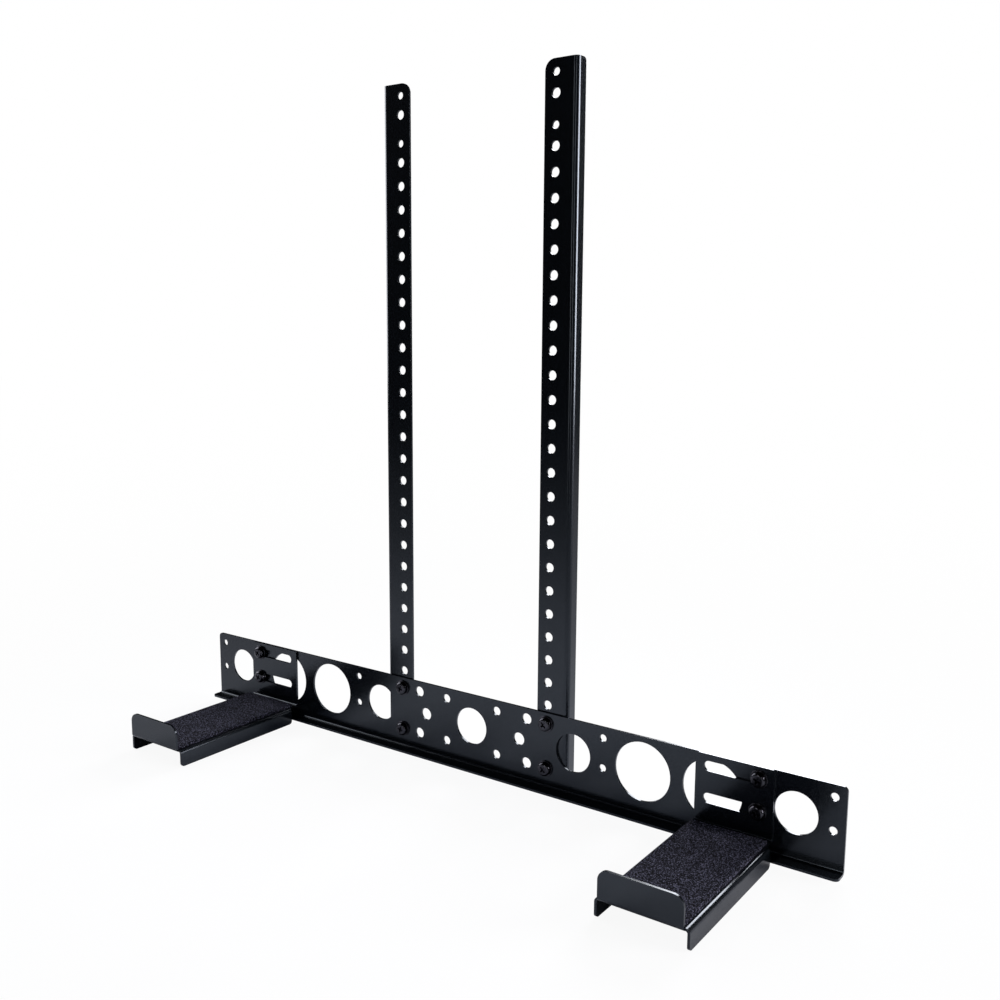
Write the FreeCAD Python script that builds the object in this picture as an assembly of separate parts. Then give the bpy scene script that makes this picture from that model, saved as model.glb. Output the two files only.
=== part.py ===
import FreeCAD, Part
import math
import os

# Soundbar bracket for a television, in folded black steel sheet. A cross bar hangs behind and
# below the screen on two uprights, and two arms reach forward from it with foam pads on top.
# Lengths are in millimetres. X runs along the cross bar, Y towards the wall, Z is up.
# Shapes are drawn about the middle of the cross bar's hole row and moved to the television's
# hole pattern when they are saved.

Vec = FreeCAD.Vector

# Sheet, and the bends that every folded piece shares
sheet = 2.5
bend_in = 2.0
bend_out = bend_in + sheet
bar_front = -sheet / 2
bar_back = sheet / 2

# Hole columns of the uprights
pitch = 25.0
column_x = 4 * pitch
big_hole = 10.0
small_hole = 8.0
small_to_big = 20.0
big_count = 24

# Cross bar
bar_half = 422.5
bar_top = 37.0
bar_bottom = -48.0
bar_lip_reach = 15.0
bar_corner = 5.0

# Holes of the cross bar, measured from its middle
centre_hole = 42.0
inner_four_x = 35.0
inner_four_hole = 10.0
middle_pair_x = 65.0
middle_pair_hole = 14.0
outer_four_x = 75.0
outer_four_hole = 12.0
near_hole_x = 134.0
near_hole = 42.0
first_large_x = 216.0
second_large_x = 292.0
large_hole = 62.5
far_hole_x = 376.0
far_hole = 42.0
narrow_pair_x = (170.0, 411.0)
narrow_pair_z = (pitch, -7.5)

# Uprights
upright_edge = 13.0
upright_width = 38.0
upright_flange = 15.0
upright_bend_in = 3.0
upright_corner = 11.0
upright_flange_corner = 4.0
upright_end = pitch / 2

# Arms
arm_x = 315.0
arm_width = 80.0
shelf_top = -33.0
lip_front = -191.5
lip_top = -5.0
lip_corner = 10.0
plate_corner = 3.0
channel_width = 89.0
side_flange_height = 19.5
side_flange_front = -188.0
side_flange_corner = 4.0
flange_gap = 1.25
slot_length = 62.0
slot_height = 10.5

# Foam pads on the arms
pad_width = 77.0
pad_length = 176.0
pad_thickness = 4.0
pad_corner = 2.0
pad_gap_to_lip = 1.5

# Fasteners: pan head screws with a cross recess, plain washers and flange nuts
thread = 6.0
screw_length = 16.0
head_diameter = 15.0
head_height = 4.5
head_round = 3.0
recess_length = 8.0
recess_width = 1.8
recess_depth = 2.6
washer_diameter = 17.5
washer_hole = 6.6
washer_thickness = 1.5
washer_round = 0.4
nut_across_flats = 10.0
nut_height = 6.0
nut_flange_diameter = 14.0
nut_flange_height = 1.4
arm_screw_x = 340.0

# The television's hole pattern, by row of the upright's column
pattern_low_row = 7
pattern_high_row = 23

# Values that follow from the ones above
first_big = pitch + small_to_big
last_big = first_big + (big_count - 1) * pitch
low_small = (-pitch, pitch)
high_small = (last_big + small_to_big, last_big + small_to_big + 2 * pitch)
extra_big = (low_small[0] + small_to_big, high_small[1] - small_to_big)
upright_bottom = low_small[0] - upright_end
upright_top = high_small[1] + upright_end
bar_lip_front = bar_front - bar_lip_reach
plate_back = bar_front
plate_front = plate_back - sheet
lip_back = lip_front + sheet
shelf_bottom = shelf_top - sheet
side_flange_back = bar_lip_front - flange_gap
pattern_low = first_big + pattern_low_row * pitch
pattern_high = first_big + pattern_high_row * pitch
to_pattern = Vec(0, -bar_back, -(pattern_low + pattern_high) / 2)


def unit(v):
    return v * (1.0 / v.Length)


def outline(corners, place):
    """Closed outline: corners are (u, v, radius), and place maps u, v to a point in space."""
    edges = []
    ends = []
    count = len(corners)
    for i in range(count):
        u, v, radius = corners[i]
        here = place(u, v)
        if radius == 0:
            ends.append((here, here))
            continue
        before = unit(place(*corners[i - 1][:2]) - here)
        after = unit(place(*corners[(i + 1) % count][:2]) - here)
        middle = unit(before + after)
        half = before.getAngle(after) / 2
        reach = radius / math.tan(half)
        centre = here + middle * (radius / math.sin(half))
        start = here + before * reach
        stop = here + after * reach
        edges.append(Part.Arc(start, centre - middle * radius, stop).toShape())
        ends.append((start, stop))
    for i in range(count):
        start = ends[i][1]
        stop = ends[(i + 1) % count][0]
        if (stop - start).Length > 1e-6:
            edges.append(Part.LineSegment(start, stop).toShape())
    return Part.Wire(Part.__sortEdges__(edges))


def solid(corners, place, along):
    return Part.Face(outline(corners, place)).extrude(along)


def box(low, high):
    size = high - low
    return Part.makeBox(size.x, size.y, size.z, low)


def round_edges(shape, radius, direction, wanted):
    """Round the straight edges that run along direction and whose middle passes wanted."""
    chosen = []
    for edge in shape.Edges:
        if edge.Curve.TypeId != "Part::GeomLine":
            continue
        run = edge.Vertexes[-1].Point - edge.Vertexes[0].Point
        if abs(abs(unit(run).dot(direction)) - 1) > 1e-6:
            continue
        if wanted(edge.CenterOfMass):
            chosen.append(edge)
    return shape.makeFillet(radius, chosen)


def near(a, b):
    return abs(a - b) < 1e-3


def hole(x, z, diameter, front, back):
    """A round punch along Y that passes both faces of a sheet."""
    start = Vec(x, front - sheet, z)
    return Part.makeCylinder(diameter / 2, back - front + 2 * sheet, start, Vec(0, 1, 0))


def punch(shape, holes, front, back):
    tools = [hole(x, z, diameter, front, back) for x, z, diameter in holes]
    return shape.cut(tools)


def both_sides(x, z, diameter):
    return [(-x, z, diameter), (x, z, diameter)]


def bar_holes():
    """Every hole of the cross bar, as x, z and diameter."""
    holes = [(0.0, 0.0, centre_hole)]
    holes += both_sides(middle_pair_x, 0.0, middle_pair_hole)
    holes += both_sides(near_hole_x, 0.0, near_hole)
    holes += both_sides(first_large_x, 0.0, large_hole)
    holes += both_sides(second_large_x, 0.0, large_hole)
    holes += both_sides(far_hole_x, 0.0, far_hole)
    for z in low_small:
        holes += both_sides(inner_four_x, z, inner_four_hole)
        holes += both_sides(outer_four_x, z, outer_four_hole)
        holes += both_sides(column_x, z, small_hole)
    for z in narrow_pair_z:
        for x in narrow_pair_x:
            holes += both_sides(x, z, small_hole)
        holes += both_sides(arm_screw_x, z, small_hole)
    return holes


def make_crossbar():
    """Upright strip with a lip folded forward along its lower edge."""
    section = [
        (bar_back, bar_top, 0),
        (bar_back, bar_bottom, bend_out),
        (bar_lip_front, bar_bottom, 0),
        (bar_lip_front, bar_bottom + sheet, 0),
        (bar_front, bar_bottom + sheet, bend_in),
        (bar_front, bar_top, 0),
    ]
    strip = solid(section, lambda y, z: Vec(-bar_half, y, z), Vec(2 * bar_half, 0, 0))
    strip = round_edges(strip, bar_corner, Vec(0, 1, 0), lambda p: near(p.z, bar_top))
    strip = round_edges(strip, bar_corner, Vec(0, 0, 1), lambda p: near(p.y, bar_lip_front))
    return punch(strip, bar_holes(), bar_front, bar_back)


def upright_holes():
    """Big holes every pitch, and a pair of small holes with one big hole at each end."""
    holes = [(column_x, first_big + i * pitch, big_hole) for i in range(big_count)]
    holes += [(column_x, z, big_hole) for z in extra_big]
    holes += [(column_x, z, small_hole) for z in low_small + high_small]
    return holes


def make_upright():
    """The upright on the +X side: an angle with its flange folded back at the outer edge."""
    inner_x = column_x - upright_edge
    outer_x = inner_x + upright_width
    front = bar_back
    back = front + upright_flange
    section = [
        (inner_x, front, 0),
        (outer_x, front, upright_bend_in + sheet),
        (outer_x, back, 0),
        (outer_x - sheet, back, 0),
        (outer_x - sheet, front + sheet, upright_bend_in),
        (inner_x, front + sheet, 0),
    ]
    length = Vec(0, 0, upright_top - upright_bottom)
    angle = solid(section, lambda x, y: Vec(x, y, upright_bottom), length)
    angle = round_edges(angle, upright_corner, Vec(0, 1, 0), lambda p: near(p.x, inner_x))
    angle = round_edges(angle, upright_flange_corner, Vec(1, 0, 0), lambda p: near(p.y, back))
    return punch(angle, upright_holes(), front, front + sheet)


def arm_strip():
    """Back plate, shelf and front lip: one strip, bent twice."""
    section = [
        (plate_back, bar_top, 0),
        (plate_back, shelf_bottom, bend_out),
        (lip_front, shelf_bottom, bend_out),
        (lip_front, lip_top, 0),
        (lip_back, lip_top, 0),
        (lip_back, shelf_top, bend_in),
        (plate_front, shelf_top, bend_in),
        (plate_front, bar_top, 0),
    ]
    left = arm_x - arm_width / 2
    strip = solid(section, lambda y, z: Vec(left, y, z), Vec(arm_width, 0, 0))
    strip = round_edges(strip, lip_corner, Vec(0, 1, 0), lambda p: near(p.z, lip_top))
    strip = round_edges(strip, plate_corner, Vec(0, 1, 0), lambda p: near(p.z, bar_top))
    return strip


def arm_channel():
    """The shelf between the lip and the back plate, with a side flange folded down each side."""
    left = arm_x - channel_width / 2
    right = arm_x + channel_width / 2
    bottom = shelf_top - side_flange_height
    section = [
        (left, shelf_top, bend_out),
        (right, shelf_top, bend_out),
        (right, bottom, 0),
        (right - sheet, bottom, 0),
        (right - sheet, shelf_bottom, bend_in),
        (left + sheet, shelf_bottom, bend_in),
        (left + sheet, bottom, 0),
        (left, bottom, 0),
    ]
    length = Vec(0, side_flange_back - side_flange_front, 0)
    channel = solid(section, lambda x, z: Vec(x, side_flange_front, z), length)
    return round_edges(channel, side_flange_corner, Vec(1, 0, 0), lambda p: near(p.z, bottom))


def make_slot(z):
    """A level slot with round ends through the arm's back plate."""
    half = slot_length / 2 - slot_height / 2
    front = plate_front - sheet
    depth = 3 * sheet
    middle = box(Vec(arm_x - half, front, z - slot_height / 2),
                 Vec(arm_x + half, front + depth, z + slot_height / 2))
    ends = [Part.makeCylinder(slot_height / 2, depth, Vec(arm_x + s * half, front, z), Vec(0, 1, 0))
            for s in (-1, 1)]
    return middle.fuse(ends).removeSplitter()


def make_arm():
    """The arm on the +X side, from one folded sheet."""
    strip = arm_strip()
    left = arm_x - channel_width / 2
    right = arm_x + channel_width / 2
    gap = box(Vec(left, side_flange_front, shelf_bottom - sheet),
              Vec(right, side_flange_back, shelf_top + sheet))
    arm = strip.cut(gap).fuse(arm_channel()).removeSplitter()
    return arm.cut([make_slot(z) for z in narrow_pair_z])


def make_pad():
    """Foam pad on the shelf of the +X arm, behind the lip."""
    left = arm_x - pad_width / 2
    right = arm_x + pad_width / 2
    front = lip_back + pad_gap_to_lip
    back = front + pad_length
    corners = [(left, front, pad_corner), (right, front, pad_corner),
               (right, back, pad_corner), (left, back, pad_corner)]
    return solid(corners, lambda x, y: Vec(x, y, shelf_top), Vec(0, 0, pad_thickness))


def make_screw(seat):
    """Pan head screw along Y; seat is the middle of the face that the head bears on."""
    head = Part.makeCylinder(head_diameter / 2, head_height, seat - Vec(0, head_height, 0),
                             Vec(0, 1, 0))
    rim = [e for e in head.Edges if near(e.CenterOfMass.y, seat.y - head_height)
           and e.Curve.TypeId == "Part::GeomCircle"]
    head = head.makeFillet(head_round, rim)
    shank = Part.makeCylinder(thread / 2, screw_length, seat, Vec(0, 1, 0))
    half = recess_length / 2
    width = recess_width / 2
    front = seat.y - head_height - sheet
    depth = seat.y - head_height + recess_depth
    level = box(Vec(seat.x - half, front, seat.z - width), Vec(seat.x + half, depth, seat.z + width))
    plumb = box(Vec(seat.x - width, front, seat.z - half), Vec(seat.x + width, depth, seat.z + half))
    return head.fuse(shank).cut(level.fuse(plumb)).removeSplitter()


def make_washer(seat):
    """Plain washer; seat is the middle of the sheet face that it lies on."""
    start = seat - Vec(0, washer_thickness, 0)
    disc = Part.makeCylinder(washer_diameter / 2, washer_thickness, start, Vec(0, 1, 0))
    rim = [e for e in disc.Edges if near(e.CenterOfMass.y, start.y)
           and e.Curve.TypeId == "Part::GeomCircle"]
    disc = disc.makeFillet(washer_round, rim)
    return disc.cut(Part.makeCylinder(washer_hole / 2, 3 * washer_thickness,
                                      start - Vec(0, washer_thickness, 0), Vec(0, 1, 0)))


def make_nut(seat):
    """Flange nut behind the sheets; seat is the middle of the face that it bears on."""
    radius = nut_across_flats / math.sqrt(3)
    points = [seat + Vec(radius * math.cos(math.radians(60 * i)), 0,
                         radius * math.sin(math.radians(60 * i))) for i in range(7)]
    hexagon = Part.Face(Part.makePolygon(points)).extrude(Vec(0, nut_height, 0))
    flange = Part.makeCylinder(nut_flange_diameter / 2, nut_flange_height, seat, Vec(0, 1, 0))
    bore = Part.makeCylinder(thread / 2, 3 * nut_height, seat - Vec(0, nut_height, 0), Vec(0, 1, 0))
    return hexagon.fuse(flange).removeSplitter().cut(bore)


def across(shape):
    """The same piece on the other side of the middle plane."""
    return shape.mirror(Vec(0, 0, 0), Vec(1, 0, 0))


def fastener(place, x, z, front, back):
    """Screw and washer on the front face, and the nut on the back face, of one joint."""
    washer_face = Vec(x, front, z)
    head_face = washer_face - Vec(0, washer_thickness, 0)
    return {
        "screw_" + place: make_screw(head_face),
        "washer_" + place: make_washer(washer_face),
        "nut_" + place: make_nut(Vec(x, back, z)),
    }


def make_fasteners():
    pieces = {}
    for side, s in (("left", -1), ("right", 1)):
        for height, z in zip(("lower", "upper"), low_small):
            pieces.update(fastener("upright_" + side + "_" + height, s * column_x, z,
                                   bar_front, bar_back + sheet))
        for height, z in zip(("upper", "lower"), narrow_pair_z):
            pieces.update(fastener("arm_" + side + "_" + height, s * arm_screw_x, z,
                                   plate_front, bar_back))
    return pieces


def save(name, shape):
    moved = shape.copy()
    moved.translate(to_pattern)
    if not moved.isValid() or len(moved.Solids) != 1:
        raise ValueError(name + " is not one valid solid")
    moved.Solids[0].exportStep("parts/" + name + ".step")
    edge = moved.BoundBox
    print("%-28s volume %9.1f  x %.1f..%.1f  y %.1f..%.1f  z %.1f..%.1f" % (
        name, moved.Volume, edge.XMin, edge.XMax, edge.YMin, edge.YMax, edge.ZMin, edge.ZMax))


def main():
    os.makedirs("parts", exist_ok=True)
    upright = make_upright()
    arm = make_arm()
    pad = make_pad()
    pieces = {
        "crossbar": make_crossbar(),
        "upright_left": across(upright),
        "upright_right": upright,
        "arm_left": across(arm),
        "arm_right": arm,
        "pad_left": across(pad),
        "pad_right": pad,
    }
    pieces.update(make_fasteners())
    for name, shape in pieces.items():
        save(name, shape)


main()
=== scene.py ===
import math

import bmesh
import bpy
from mathutils import Matrix, Vector, noise


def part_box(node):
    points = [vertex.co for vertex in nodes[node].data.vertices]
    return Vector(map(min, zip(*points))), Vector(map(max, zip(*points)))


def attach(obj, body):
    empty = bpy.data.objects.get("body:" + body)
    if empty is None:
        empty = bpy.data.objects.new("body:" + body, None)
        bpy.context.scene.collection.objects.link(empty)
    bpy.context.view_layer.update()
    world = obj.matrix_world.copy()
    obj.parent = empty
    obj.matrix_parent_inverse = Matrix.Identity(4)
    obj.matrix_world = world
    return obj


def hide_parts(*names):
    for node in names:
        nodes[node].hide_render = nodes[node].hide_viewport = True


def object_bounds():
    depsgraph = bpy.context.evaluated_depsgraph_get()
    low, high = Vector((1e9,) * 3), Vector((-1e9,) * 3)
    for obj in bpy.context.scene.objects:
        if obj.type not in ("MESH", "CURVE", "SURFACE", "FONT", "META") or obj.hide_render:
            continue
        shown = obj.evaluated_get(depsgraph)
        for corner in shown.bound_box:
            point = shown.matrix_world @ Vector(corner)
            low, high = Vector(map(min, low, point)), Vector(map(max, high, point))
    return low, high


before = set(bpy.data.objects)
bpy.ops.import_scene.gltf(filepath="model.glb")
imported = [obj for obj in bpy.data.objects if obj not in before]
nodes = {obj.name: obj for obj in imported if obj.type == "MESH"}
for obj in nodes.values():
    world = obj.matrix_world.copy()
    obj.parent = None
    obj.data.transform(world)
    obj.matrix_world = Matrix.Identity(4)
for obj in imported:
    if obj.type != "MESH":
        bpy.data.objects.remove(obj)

cadLow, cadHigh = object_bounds()
mm = 0.001
print("frame loaded,", len(nodes), "CAD nodes")


def hexToLinear(code):
    channels = [int(code[i:i + 2], 16) / 255 for i in (0, 2, 4)]
    linear = [c / 12.92 if c <= 0.04045 else ((c + 0.055) / 1.055) ** 2.4 for c in channels]
    return (*linear, 1.0)


def addNode(tree, kind, settings=None, values=None, links=None):
    node = tree.nodes.new(kind)
    for name, value in (settings or {}).items():
        setattr(node, name, value)
    for name, value in (values or {}).items():
        node.inputs[name].default_value = value
    for name, source in (links or {}).items():
        tree.links.new(source, node.inputs[name])
    return node


def newMaterial(name):
    material = bpy.data.materials.new(name)
    material.use_nodes = True
    material.node_tree.nodes.clear()
    return material, material.node_tree


def closeMaterial(tree, shader):
    addNode(tree, "ShaderNodeOutputMaterial", links={"Surface": shader.outputs[0]})


def perMetre(millimetres):
    return 1 / (millimetres * mm)  # texture scale that repeats at this size


# Camera, worked out from the holes of the uprights and of the cross bar
cameraSettings = {
    "position": (0.69529, -0.93043, 0.01901),
    "yaw": 35.321,    # degrees to the left of straight at the bracket
    "pitch": 8.893,   # degrees down
    "roll": -0.376,
    "lens": 38.816,   # mm on a 36 mm sensor
    "sensor": 36.0,
}


def makeCamera(settings):
    yaw, pitch, roll = (math.radians(settings[k]) for k in ("yaw", "pitch", "roll"))
    forward = Vector((-math.sin(yaw) * math.cos(pitch), math.cos(yaw) * math.cos(pitch), -math.sin(pitch)))
    right = Vector((math.cos(yaw), math.sin(yaw), 0))
    down = forward.cross(right)
    right2 = right * math.cos(roll) + down * math.sin(roll)
    down2 = down * math.cos(roll) - right * math.sin(roll)
    data = bpy.data.cameras.new("camera")
    data.lens = settings["lens"]
    data.sensor_width = settings["sensor"]
    data.dof.use_dof = False
    camera = bpy.data.objects.new("camera", data)
    turn = Matrix((right2, -down2, -forward)).transposed().to_4x4()
    camera.matrix_world = Matrix.Translation(settings["position"]) @ turn
    bpy.context.scene.collection.objects.link(camera)
    bpy.context.scene.camera = camera


makeCamera(cameraSettings)
print("camera placed")

# Studio: a white table top that the bracket hangs just above, with a painted pool of light in its colour
# that fades to dark away from the bracket, in a dark room with soft windows behind, left and right, and two
# narrow strip lights in front. The eye sees plain white all round, and the black curtain is there for the
# mirrors only
studio = {
    "floorBelow": 0.0006,    # metres from the lowest point of the bracket
    "floorHalf": 9.0,
    "floorColour": "f6f6f6",
    # painted pool of light: the table top's colour is brightest round this point and fades outwards
    "paintedPoolCentre": (0.0, -0.2),
    "paintedPoolRadius": 0.8,       # metres from the middle to where the painted pool of light is half as bright
    "paintedPoolFall": 2.5,
    "paintedPoolRest": 0.13,        # painted brightness that is left far away
    "shadowShare": 0.08,     # how much of the shadow the eye sees on the white
    "skyColour": "86acf0",
    "skyForDiffuse": 0.12,
    "curtainRadius": 3.8,
    "curtainHeight": 3.6,
    "curtainColour": "050505",
    "windowDistance": 3.2,
}
# each one's azimuth from straight behind towards the right and its elevation, in degrees, then
# its width and height in metres, its radiance and its tint
windows = {
    "windowLeft": (-92, 26, 2.60, 2.50, 4.4, "fbfbff"),
    "windowBack": (-4, 24, 1.80, 2.30, 12.5, "fbfbff"),
    "windowRight": (70, 16, 1.60, 1.30, 21.0, "fffcff"),
    "stripFront": (187, 12, 0.30, 1.90, 4.0, "ffffff"),
    "stripFrontRight": (145, 12, 0.30, 1.90, 4.0, "ffffff"),
}


def seenDirectly(tree):
    # 1 for camera, mirror and glass rays, 0 for the light that falls on the bracket
    path = addNode(tree, "ShaderNodeLightPath")
    first = addNode(tree, "ShaderNodeMath", {"operation": "MAXIMUM"},
                    links={0: path.outputs["Is Camera Ray"], 1: path.outputs["Is Glossy Ray"]})
    return addNode(tree, "ShaderNodeMath", {"operation": "MAXIMUM"},
                   links={0: first.outputs[0], 1: path.outputs["Is Transmission Ray"]}).outputs[0]


def makeWorld():
    world = bpy.data.worlds.new("studio")
    bpy.context.scene.world = world
    world.use_nodes = True
    tree = world.node_tree
    tree.nodes.clear()
    white = addNode(tree, "ShaderNodeBackground", values={"Color": (1, 1, 1, 1), "Strength": 1.0})
    soft = addNode(tree, "ShaderNodeBackground",
                   values={"Color": hexToLinear(studio["skyColour"]), "Strength": studio["skyForDiffuse"]})
    mix = addNode(tree, "ShaderNodeMixShader",
                  links={0: seenDirectly(tree), 1: soft.outputs[0], 2: white.outputs[0]})
    addNode(tree, "ShaderNodeOutputWorld", links={"Surface": mix.outputs[0]})


def stageObject(name, bm, material):
    mesh = bpy.data.meshes.new(name)
    bm.to_mesh(mesh)
    bm.free()
    obj = bpy.data.objects.new(name, mesh)
    mesh.materials.append(material)
    bpy.context.scene.collection.objects.link(obj)
    return obj


def makeFloor(z):
    paper, tree = newMaterial("tableTopWithPaintedPool")
    # Painted pool of light: the table top's colour fades from floorColour near the bracket to a dim rest far
    # away, so mirrors see a bright patch round the bracket and dark beyond
    where = addNode(tree, "ShaderNodeTexCoord").outputs["Object"]
    far = addNode(tree, "ShaderNodeVectorMath", {"operation": "DISTANCE"},
                  {1: (*studio["paintedPoolCentre"], z)}, {0: where})
    share = addNode(tree, "ShaderNodeMath", {"operation": "DIVIDE"},
                    {1: studio["paintedPoolRadius"]}, {0: far.outputs["Value"]})
    steep = addNode(tree, "ShaderNodeMath", {"operation": "POWER"},
                    {1: studio["paintedPoolFall"]}, {0: share.outputs[0]})
    plusOne = addNode(tree, "ShaderNodeMath", {"operation": "ADD"}, {1: 1.0}, {0: steep.outputs[0]})
    paintedPoolMask = addNode(tree, "ShaderNodeMath", {"operation": "DIVIDE"}, {0: 1.0}, {1: plusOne.outputs[0]})
    # tone of the painted pool of light, mixed into the table top's colour
    lit = addNode(tree, "ShaderNodeMapRange", values={"To Min": studio["paintedPoolRest"], "To Max": 1.0},
                  links={"Value": paintedPoolMask.outputs[0]})
    colour = addNode(tree, "ShaderNodeMix", {"data_type": "RGBA"},
                     {6: (0, 0, 0, 1), 7: hexToLinear(studio["floorColour"])}, {0: lit.outputs[0]})
    matt = addNode(tree, "ShaderNodeBsdfDiffuse", links={"Color": colour.outputs[2]})
    white = addNode(tree, "ShaderNodeEmission", values={"Strength": 1.0})
    eye = addNode(tree, "ShaderNodeLightPath").outputs["Is Camera Ray"]
    keep = addNode(tree, "ShaderNodeMath", {"operation": "MULTIPLY_ADD"},
                   {1: -studio["shadowShare"], 2: 1.0}, {0: paintedPoolMask.outputs[0]})
    whiten = addNode(tree, "ShaderNodeMath", {"operation": "MULTIPLY"}, links={0: eye, 1: keep.outputs[0]})
    closeMaterial(tree, addNode(tree, "ShaderNodeMixShader",
                                links={0: whiten.outputs[0], 1: matt.outputs[0], 2: white.outputs[0]}))
    bm = bmesh.new()
    bmesh.ops.create_grid(bm, x_segments=1, y_segments=1, size=studio["floorHalf"],
                          matrix=Matrix.Translation((0, 0, z)))
    stageObject("floor", bm, paper)


def makeCurtain(z):
    felt, tree = newMaterial("blackFeltCurtain")
    closeMaterial(tree, addNode(tree, "ShaderNodeBsdfDiffuse",
                                values={"Color": hexToLinear(studio["curtainColour"])}))
    height = studio["curtainHeight"]
    bm = bmesh.new()
    bmesh.ops.create_cone(bm, cap_ends=True, segments=64, radius1=studio["curtainRadius"],
                          radius2=studio["curtainRadius"], depth=height,
                          matrix=Matrix.Translation((0, 0, z + height / 2)))
    bottom = [f for f in bm.faces if f.normal.z < -0.5]
    bmesh.ops.delete(bm, geom=bottom, context="FACES")
    curtain = stageObject("curtain", bm, felt)
    curtain.visible_camera = False
    curtain.visible_diffuse = False
    curtain.visible_shadow = False


def makeWindow(name, azimuth, elevation, width, height, radiance, tint):
    turn, lift = math.radians(azimuth), math.radians(elevation)
    out = Vector((math.cos(lift) * math.sin(turn), math.cos(lift) * math.cos(turn), math.sin(lift)))
    data = bpy.data.lights.new(name, "AREA")
    data.shape = "RECTANGLE"
    data.size, data.size_y = width, height
    data.energy = radiance * math.pi * width * height
    data.color = hexToLinear(tint)[:3]
    lamp = bpy.data.objects.new(name, data)
    lamp.location = Vector((0, 0, floorZ)) + out * studio["windowDistance"]
    lamp.rotation_euler = (-out).to_track_quat("-Z", "Y").to_euler()
    lamp.visible_camera = False
    bpy.context.scene.collection.objects.link(lamp)


makeWorld()
floorZ = cadLow.z - studio["floorBelow"]
makeFloor(floorZ)
makeCurtain(floorZ)
for name, settings in windows.items():
    makeWindow(name, *settings)
bpy.context.scene.view_settings.view_transform = "Standard"
print("studio lit")

# Satin black polyester powder coat on folded sheet: a deep blue-black that goes grey where
# it mirrors the white table top, with the faint orange peel of a baked powder
powderCoat = {
    "dark": "040608",
    "light": "080b0f",
    "sheen": "e4f0ff",    # tint of its gloss, a little blue
    "patch": 45.0,        # mm, slow change of tone
    "peel": 1.6,          # mm, orange peel
    "peelDepth": 0.012,   # mm
    "grain": 0.35,        # mm, fine sparkle of the powder
    "grainRange": (0.3, 0.7),
    "roughLow": 0.17,
    "roughHigh": 0.22,
    "ior": 1.5,
}


def powderCoatMaterial():
    s = powderCoat
    material, tree = newMaterial("satinBlackPowderCoat")
    where = addNode(tree, "ShaderNodeTexCoord").outputs["Object"]
    patch = addNode(tree, "ShaderNodeTexNoise", values={"Scale": perMetre(s["patch"]), "Detail": 3.0},
                    links={"Vector": where})
    tone = addNode(tree, "ShaderNodeMix", {"data_type": "RGBA"},
                   {6: hexToLinear(s["dark"]), 7: hexToLinear(s["light"])},
                   {0: patch.outputs["Fac"]})
    grain = addNode(tree, "ShaderNodeTexNoise", values={"Scale": perMetre(s["grain"]), "Detail": 2.0},
                    links={"Vector": where})
    rough = addNode(tree, "ShaderNodeMapRange",
                    values={"From Min": s["grainRange"][0], "From Max": s["grainRange"][1],
                            "To Min": s["roughLow"], "To Max": s["roughHigh"]},
                    links={"Value": grain.outputs["Fac"]})
    peel = addNode(tree, "ShaderNodeTexNoise", values={"Scale": perMetre(s["peel"]), "Detail": 2.0},
                   links={"Vector": where})
    bump = addNode(tree, "ShaderNodeBump", values={"Strength": 1.0, "Distance": s["peelDepth"] * mm},
                   links={"Height": peel.outputs["Fac"]})
    shader = addNode(tree, "ShaderNodeBsdfPrincipled",
                     values={"IOR": s["ior"], "Specular Tint": hexToLinear(s["sheen"])},
                     links={"Base Color": tone.outputs[2], "Roughness": rough.outputs[0],
                            "Normal": bump.outputs[0]})
    closeMaterial(tree, shader)
    return material


# Black zinc plated steel of the screws, washers and nuts: dark metal with sharp small glints
blackZinc = {
    "dark": "28282c",
    "light": "4a4a50",
    "patch": 2.5,           # mm, slow change of tone
    "rough": 0.2,
    "scratch": 0.5,         # mm, unevenness of the plated steel
    "scratchDepth": 0.006,  # mm
}


def blackZincMaterial():
    s = blackZinc
    material, tree = newMaterial("blackZincPlate")
    where = addNode(tree, "ShaderNodeTexCoord").outputs["Object"]
    patch = addNode(tree, "ShaderNodeTexNoise", values={"Scale": perMetre(s["patch"]), "Detail": 4.0},
                    links={"Vector": where})
    tone = addNode(tree, "ShaderNodeMix", {"data_type": "RGBA"},
                   {6: hexToLinear(s["dark"]), 7: hexToLinear(s["light"])},
                   {0: patch.outputs["Fac"]})
    scratch = addNode(tree, "ShaderNodeTexNoise", values={"Scale": perMetre(s["scratch"]), "Detail": 2.0},
                      links={"Vector": where})
    bump = addNode(tree, "ShaderNodeBump", values={"Strength": 1.0, "Distance": s["scratchDepth"] * mm},
                   links={"Height": scratch.outputs["Fac"]})
    shader = addNode(tree, "ShaderNodeBsdfPrincipled", values={"Metallic": 1.0, "Roughness": s["rough"]},
                     links={"Base Color": tone.outputs[2], "Normal": bump.outputs[0]})
    closeMaterial(tree, shader)
    return material


# Closed-cell sponge rubber, skived: a matt charcoal face, darker where the cells lie low, with pale specks
# painted on the raised cells as glints
spongeRubber = {
    "dark": "060608",
    "mid": "15151b",
    # painted glint: the pale speck colour on the tops of the cells
    "glintSpeck": "5a5a6a",
    "cell": 1.2,        # mm; real cells are about half as large, drawn coarser so that they show
    "cellDepth": 0.6,   # mm
    "cellSteps": (0.40, 0.52, 0.68),  # where the dark, the middle and the painted glint colour stand on the cell height
    "rough": 0.95,
    "gloss": 0.04,
}


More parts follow.
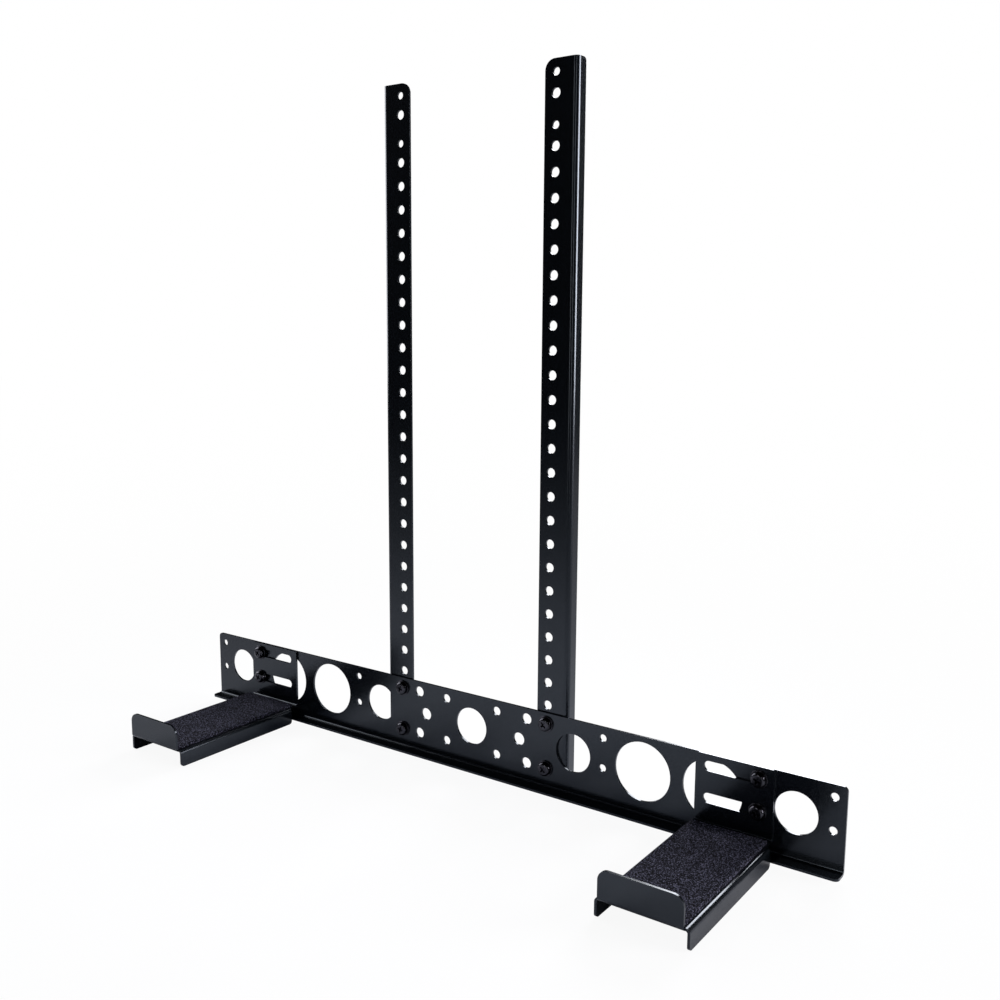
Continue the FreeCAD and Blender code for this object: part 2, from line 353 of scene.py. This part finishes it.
def spongeRubberMaterial():
    s = spongeRubber
    material, tree = newMaterial("skivedSpongeRubber")
    where = addNode(tree, "ShaderNodeTexCoord").outputs["Object"]
    cells = addNode(tree, "ShaderNodeTexNoise", values={"Scale": perMetre(s["cell"]), "Detail": 2.0},
                    links={"Vector": where})
    # the same noise raises the bump, so the pale specks painted as glints sit on the raised cells
    tone = addNode(tree, "ShaderNodeValToRGB", links={"Fac": cells.outputs["Fac"]})
    ramp = tone.color_ramp
    darkAt, midAt, glintSpeckAt = s["cellSteps"]
    ramp.elements[0].position, ramp.elements[0].color = darkAt, hexToLinear(s["dark"])
    ramp.elements[1].position, ramp.elements[1].color = glintSpeckAt, hexToLinear(s["glintSpeck"])
    middle = ramp.elements.new(midAt)
    middle.color = hexToLinear(s["mid"])
    bump = addNode(tree, "ShaderNodeBump", values={"Strength": 1.0, "Distance": s["cellDepth"] * mm},
                   links={"Height": cells.outputs["Fac"]})
    shader = addNode(tree, "ShaderNodeBsdfPrincipled",
                     values={"Roughness": s["rough"], "Specular IOR Level": s["gloss"]},
                     links={"Base Color": tone.outputs[0], "Normal": bump.outputs[0]})
    closeMaterial(tree, shader)
    return material


coat = powderCoatMaterial()
zinc = blackZincMaterial()
sponge = spongeRubberMaterial()
print("materials made")


def dress(obj, material):
    obj.data.materials.clear()
    obj.data.materials.append(material)


# Folded sheet: the powder rounds every cut edge, so the edges catch a thin line of light
sheetEdges = {
    "round": 0.35,     # mm
    "segments": 2,
    "sharpFrom": 35,   # degrees, anything flatter is part of a bend
    "join": 0.01,      # mm
}


def roundSheetEdges(obj):
    s = sheetEdges
    weld = obj.modifiers.new("joinFaces", "WELD")
    weld.merge_threshold = s["join"] * mm
    bevel = obj.modifiers.new("roundEdges", "BEVEL")
    bevel.width = s["round"] * mm
    bevel.segments = s["segments"]
    bevel.limit_method = "ANGLE"
    bevel.angle_limit = math.radians(s["sharpFrom"])
    bevel.harden_normals = True
    even = obj.modifiers.new("evenShading", "WEIGHTED_NORMAL")
    even.keep_sharp = False


for name, obj in nodes.items():
    if name.startswith(("screw", "washer", "nut")):
        dress(obj, zinc)
    elif name.startswith("pad"):
        dress(obj, sponge)
    else:
        dress(obj, coat)
        roundSheetEdges(obj)
print("CAD nodes dressed")


def finishedPiece(name, mesh, material, slot, *stoodFor):
    obj = bpy.data.objects.new(name, mesh)
    bpy.context.scene.collection.objects.link(obj)
    mesh.materials.clear()
    mesh.materials.append(material)
    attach(obj, "root")
    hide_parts(*stoodFor)
    return obj


def meshFrom(bm, name, smoothUpTo):
    # closed mesh, faces outwards, smooth wherever faces meet flatter than the given angle
    bmesh.ops.recalc_face_normals(bm, faces=bm.faces)
    for face in bm.faces:
        face.smooth = True
    for edge in bm.edges:
        edge.smooth = edge.calc_face_angle(0.0) < math.radians(smoothUpTo)
    mesh = bpy.data.meshes.new(name)
    bm.to_mesh(mesh)
    bm.free()
    return mesh


# Foam pad, knife-cut from sheet: its faces are open skived cells, its top edges sink a little,
# and it lies slightly wavy on its glue
foamPad = {
    "cell": 1.0,        # mm between the points of its faces
    "grain": 0.10,      # mm, how deep the cut cells stand
    "grainSize": 1.5,   # mm
    "wave": 0.12,       # mm, slow waviness of the glued sheet
    "waveSize": 28.0,
    "sink": 0.55,       # mm that the cut edges sink
    "sinkWidth": 1.4,
    "drawIn": 0.25,     # mm that the sides pull in at half their height
    "side": 4,          # rows of faces up the sides
    "join": 0.02,       # mm
    "smooth": 60,       # degrees
}


def only(geometry, kind):
    return [part for part in geometry if isinstance(part, kind)]


def makeFoamPad(side):
    s = foamPad
    low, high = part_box("pad_" + side)
    size = high - low
    middle = (low + high) / 2
    place = Matrix.Translation((middle.x, middle.y, low.z)) @ Matrix.Diagonal((size.x, size.y, 1, 1))
    bm = bmesh.new()
    columns, rows = (round(v / (s["cell"] * mm)) for v in (size.x, size.y))
    bmesh.ops.create_grid(bm, x_segments=columns, y_segments=rows, size=0.5, matrix=place)
    step = size.z / s["side"]
    rim = [e for e in bm.edges if e.is_boundary]
    bottom = bm.verts[:] + bm.edges[:] + bm.faces[:]
    for row in range(s["side"]):
        grown = bmesh.ops.extrude_edge_only(bm, edges=rim)["geom"]
        bmesh.ops.translate(bm, vec=(0, 0, step), verts=only(grown, bmesh.types.BMVert))
        rim = only(grown, bmesh.types.BMEdge)
    top = bmesh.ops.duplicate(bm, geom=bottom)["geom"]
    bmesh.ops.translate(bm, vec=(0, 0, size.z), verts=only(top, bmesh.types.BMVert))
    bmesh.ops.remove_doubles(bm, verts=bm.verts, dist=s["join"] * mm)
    onEdge = s["join"] * mm
    for v in bm.verts:
        inX = size.x / 2 - abs(v.co.x - middle.x)
        inY = size.y / 2 - abs(v.co.y - middle.y)
        edge = min(inX, inY) / mm
        up = (v.co.z - low.z) / size.z
        wave = noise.noise(v.co * perMetre(s["waveSize"])) * s["wave"]
        grain = noise.noise(v.co * perMetre(s["grainSize"])) * s["grain"]
        sink = s["sink"] * max(0.0, 1 - edge / s["sinkWidth"]) ** 2
        v.co.z += up * (wave + grain - sink - s["wave"] / 2 - s["grain"] / 2) * mm
        pull = s["drawIn"] * 4 * up * (1 - up) * mm
        if inX < onEdge:
            v.co.x -= math.copysign(pull + abs(grain) * mm, v.co.x - middle.x)
        if inY < onEdge:
            v.co.y -= math.copysign(pull + abs(grain) * mm, v.co.y - middle.y)
    mesh = meshFrom(bm, "foamPad_" + side, s["smooth"])
    piece = finishedPiece("foamPad_" + side, mesh, sponge, "foam", "pad_" + side)


for side in ("left", "right"):
    makeFoamPad(side)
print("foam pads cut")

# M6 pan head screw with a cross recess and a rolled thread, in millimetres
panScrew = {
    "headRadius": 7.5, "headHeight": 4.5, "headRim": 0.25, "headRound": 3.0, "roundSteps": 8, "headSteps": 72,
    "recessLength": 8.0, "recessWidth": 1.9, "recessFoot": 3.6, "recessFootWidth": 1.2, "recessDepth": 2.6,
    "recessOver": 0.4,     # how far the recess cutter stands above the head
    "shank": 16.0, "threadRadius": 3.0, "rootRadius": 2.39, "pitch": 1.0,
    "threadRamp": (0.22, 0.55, 0.67),  # shares of the pitch where the flank starts, tops out and falls
    "lead": 1.0, "leadDrop": 0.25, "intoHead": 0.3, "turnSteps": 28, "threadJoin": 0.004,
    "smooth": 35, "headSmooth": 40, "recessSmooth": 30,  # degrees
    "turnSpread": 40, "turnStart": 3.1,  # where in the noise each screw finds its angle
}
joinAt = 0.001   # mm, points of a turned shape nearer than this are one
onPlane = 0.0001  # mm


def turned(profile, steps):
    # the profile, x out from the axis and z along it, spun once round
    bm = bmesh.new()
    line = [bm.verts.new((x, 0, z)) for x, z in profile]
    edges = [bm.edges.new(pair) for pair in zip(line, line[1:])]
    bmesh.ops.spin(bm, geom=line + edges, cent=(0, 0, 0), axis=(0, 0, 1), angle=math.tau, steps=steps,
                   use_merge=True)
    bmesh.ops.remove_doubles(bm, verts=bm.verts, dist=joinAt)
    return bm


def cutOff(bm, point, normal):
    # takes away what lies beyond the plane and closes the cut
    everything = bm.verts[:] + bm.edges[:] + bm.faces[:]
    bmesh.ops.bisect_plane(bm, geom=everything, dist=onPlane, plane_co=point, plane_no=normal,
                           clear_outer=True)
    bmesh.ops.holes_fill(bm, edges=[e for e in bm.edges if e.is_boundary], sides=0)


def recessBlade(s, turn):
    # one wing pair of the recess, wide at the head's face and narrow at its foot
    top = s["headHeight"] + s["recessOver"]
    foot = s["headHeight"] - s["recessDepth"]
    bm = bmesh.new()
    bmesh.ops.create_cube(bm, size=1.0)
    for v in bm.verts:
        high = v.co.z > 0
        length = s["recessLength"] if high else s["recessFoot"]
        width = s["recessWidth"] if high else s["recessFootWidth"]
        v.co = Vector((v.co.x * length, v.co.y * width, top if high else foot))
    bmesh.ops.rotate(bm, verts=bm.verts, cent=(0, 0, 0), matrix=Matrix.Rotation(turn, 3, "Z"))
    return meshFrom(bm, "recessBlade", s["recessSmooth"])


def cutMesh(mesh, cutter, name):
    # mesh minus the cutter, made by a Boolean that is applied here
    body = bpy.data.objects.new(name + "Body", mesh)
    tool = bpy.data.objects.new(name + "Tool", cutter)
    for obj in (body, tool):
        bpy.context.scene.collection.objects.link(obj)
    cut = body.modifiers.new("cut", "BOOLEAN")
    cut.operation, cut.object, cut.solver = "DIFFERENCE", tool, "EXACT"
    result = bpy.data.meshes.new_from_object(body.evaluated_get(bpy.context.evaluated_depsgraph_get()))
    for obj in (body, tool):
        bpy.data.objects.remove(obj)
    return result


def screwHead(s):
    outer, height, bend, rim = s["headRadius"], s["headHeight"], s["headRound"], s["headRim"]
    profile = [(0, 0), (outer - rim, 0), (outer, rim)]
    for step in range(s["roundSteps"] + 1):
        angle = math.radians(90 * step / s["roundSteps"])
        profile.append((outer - bend + bend * math.cos(angle), height - bend + bend * math.sin(angle)))
    profile.append((0, height))
    head = meshFrom(turned(profile, s["headSteps"]), "screwHead", s["headSmooth"])
    for turn in (0.0, math.pi / 2):
        head = cutMesh(head, recessBlade(s, turn), "screwHead")
    return head


def threadedShank(s):
    bm = bmesh.new()
    crest, root, pitch = s["threadRadius"], s["rootRadius"], s["pitch"]
    start, top, fall = s["threadRamp"]
    profile = [(root, 0.0), (root, pitch * start), (crest, pitch * top), (crest, pitch * fall), (root, pitch)]
    line = [bm.verts.new((x, 0, z)) for x, z in profile]
    edges = [bm.edges.new(pair) for pair in zip(line, line[1:])]
    turns = math.ceil(s["shank"] / pitch) + 2
    steps = s["turnSteps"]
    bmesh.ops.spin(bm, geom=line + edges, cent=(0, 0, 0), axis=(0, 0, 1), dvec=(0, 0, pitch / steps),
                   angle=math.tau * turns, steps=steps * turns, use_merge=False)
    bmesh.ops.remove_doubles(bm, verts=bm.verts, dist=s["threadJoin"])
    bmesh.ops.translate(bm, vec=(0, 0, -s["shank"] - pitch), verts=bm.verts)
    cutOff(bm, (0, 0, -s["shank"]), (0, 0, -1))
    cutOff(bm, (0, 0, s["intoHead"]), (0, 0, 1))
    for v in bm.verts:  # turned-down lead end, so the nut starts easily
        share = min(1.0, (v.co.z + s["shank"]) / s["lead"])
        limit = root - s["leadDrop"] + (crest - root + s["leadDrop"]) * share
        radius = math.hypot(v.co.x, v.co.y)
        if radius > limit:
            v.co.x *= limit / radius
            v.co.y *= limit / radius
    return meshFrom(bm, "screwShank", s["smooth"])


def makeScrewMesh():
    s = panScrew
    bm = bmesh.new()
    for part in (screwHead(s), threadedShank(s)):
        bm.from_mesh(part)
    bmesh.ops.triangulate(bm, faces=[f for f in bm.faces if len(f.verts) > 4])
    bmesh.ops.scale(bm, vec=(mm, mm, mm), verts=bm.verts)
    # built standing on its shank, then laid down with its head to the front
    bmesh.ops.rotate(bm, verts=bm.verts, cent=(0, 0, 0), matrix=Matrix.Rotation(math.pi / 2, 3, "X"))
    return meshFrom(bm, "panScrew", s["smooth"])


# M6 flange nut with chamfered corners, in millimetres
flangeNut = {
    "acrossFlats": 10.0, "height": 6.0, "chamfer": 30, "chamferCuts": 36, "chamferFrom": 0.98,
    "flangeRadius": 7.0, "flangeEdge": 0.6, "flangeTop": 1.4, "flangeRound": 0.2, "flangeLean": 0.25,
    "coneIn": 0.6, "coneUp": 0.35, "flangeSteps": 64,
    "bore": 3.0, "boreMouth": 0.5, "boreSteps": 48,
    "smooth": 30, "hexagonSmooth": 20,  # degrees
}


def nutHexagon(s, corner):
    bm = bmesh.new()
    bmesh.ops.create_cone(bm, cap_ends=True, segments=6, radius1=corner, radius2=corner, depth=s["height"],
                          matrix=Matrix.Translation((0, 0, s["height"] / 2)))
    slope = math.radians(s["chamfer"])
    for step in range(s["chamferCuts"]):
        turn = math.tau * (step + 0.5) / s["chamferCuts"]
        outward = Vector((math.cos(turn), math.sin(turn), 0))
        normal = outward * math.sin(slope) + Vector((0, 0, math.cos(slope)))
        point = outward * s["acrossFlats"] / 2 * s["chamferFrom"] + Vector((0, 0, s["height"]))
        cutOff(bm, point, normal)
    return meshFrom(bm, "nutHexagon", s["hexagonSmooth"])


def nutFlange(s, corner):
    outer, edge, top = s["flangeRadius"], s["flangeEdge"], s["flangeTop"] + s["coneUp"]
    profile = [(0, 0), (outer - s["flangeRound"], 0), (outer, s["flangeRound"]), (outer, edge),
               (outer - s["flangeLean"], edge + s["flangeRound"]), (corner - s["coneIn"], top), (0, top)]
    return meshFrom(turned(profile, s["flangeSteps"]), "nutFlange", s["smooth"])


def nutBore(s):
    bore, deep = s["bore"], s["boreMouth"]
    mouth = bore + 2 * deep
    profile = [(0, -deep), (mouth, -deep), (bore, deep), (bore, s["height"] - deep),
               (mouth, s["height"] + deep), (0, s["height"] + deep)]
    return meshFrom(turned(profile, s["boreSteps"]), "nutBore", s["smooth"])


def makeNutMesh():
    s = flangeNut
    corner = s["acrossFlats"] / math.sqrt(3)
    hexagon, flange, bore = nutHexagon(s, corner), nutFlange(s, corner), nutBore(s)
    bm = bmesh.new()
    for part in (hexagon, flange):
        bm.from_mesh(cutMesh(part, bore.copy(), "nut"))
    bmesh.ops.scale(bm, vec=(mm, mm, mm), verts=bm.verts)
    # flange to the front, against the sheet, and the hexagon behind it
    bmesh.ops.rotate(bm, verts=bm.verts, cent=(0, 0, 0), matrix=Matrix.Rotation(-math.pi / 2, 3, "X"))
    return meshFrom(bm, "flangeNut", s["smooth"])


screwMesh = makeScrewMesh()
nutMesh = makeNutMesh()


def placeFastener(place):
    washerLow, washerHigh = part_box("washer_" + place)
    nutLow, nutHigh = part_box("nut_" + place)
    middle = (washerLow + washerHigh) / 2
    spread, start = panScrew["turnSpread"], panScrew["turnStart"]
    # each one stopped where it was tight
    turn = noise.noise(Vector((middle.x * spread, start, middle.z * spread))) * math.pi
    screw = screwMesh.copy()
    screw.transform(Matrix.Translation((middle.x, washerLow.y, middle.z)) @ Matrix.Rotation(turn, 4, "Y"))
    finishedPiece("panScrew_" + place, screw, zinc, "black_hardware", "screw_" + place)
    nut = nutMesh.copy()
    nut.transform(Matrix.Translation((middle.x, nutLow.y, middle.z)) @ Matrix.Rotation(-turn, 4, "Y"))
    finishedPiece("flangeNut_" + place, nut, zinc, "black_hardware", "nut_" + place)


for node in sorted(nodes):
    if node.startswith("washer_"):
        placeFastener(node[len("washer_"):])
print("screws and nuts in place")
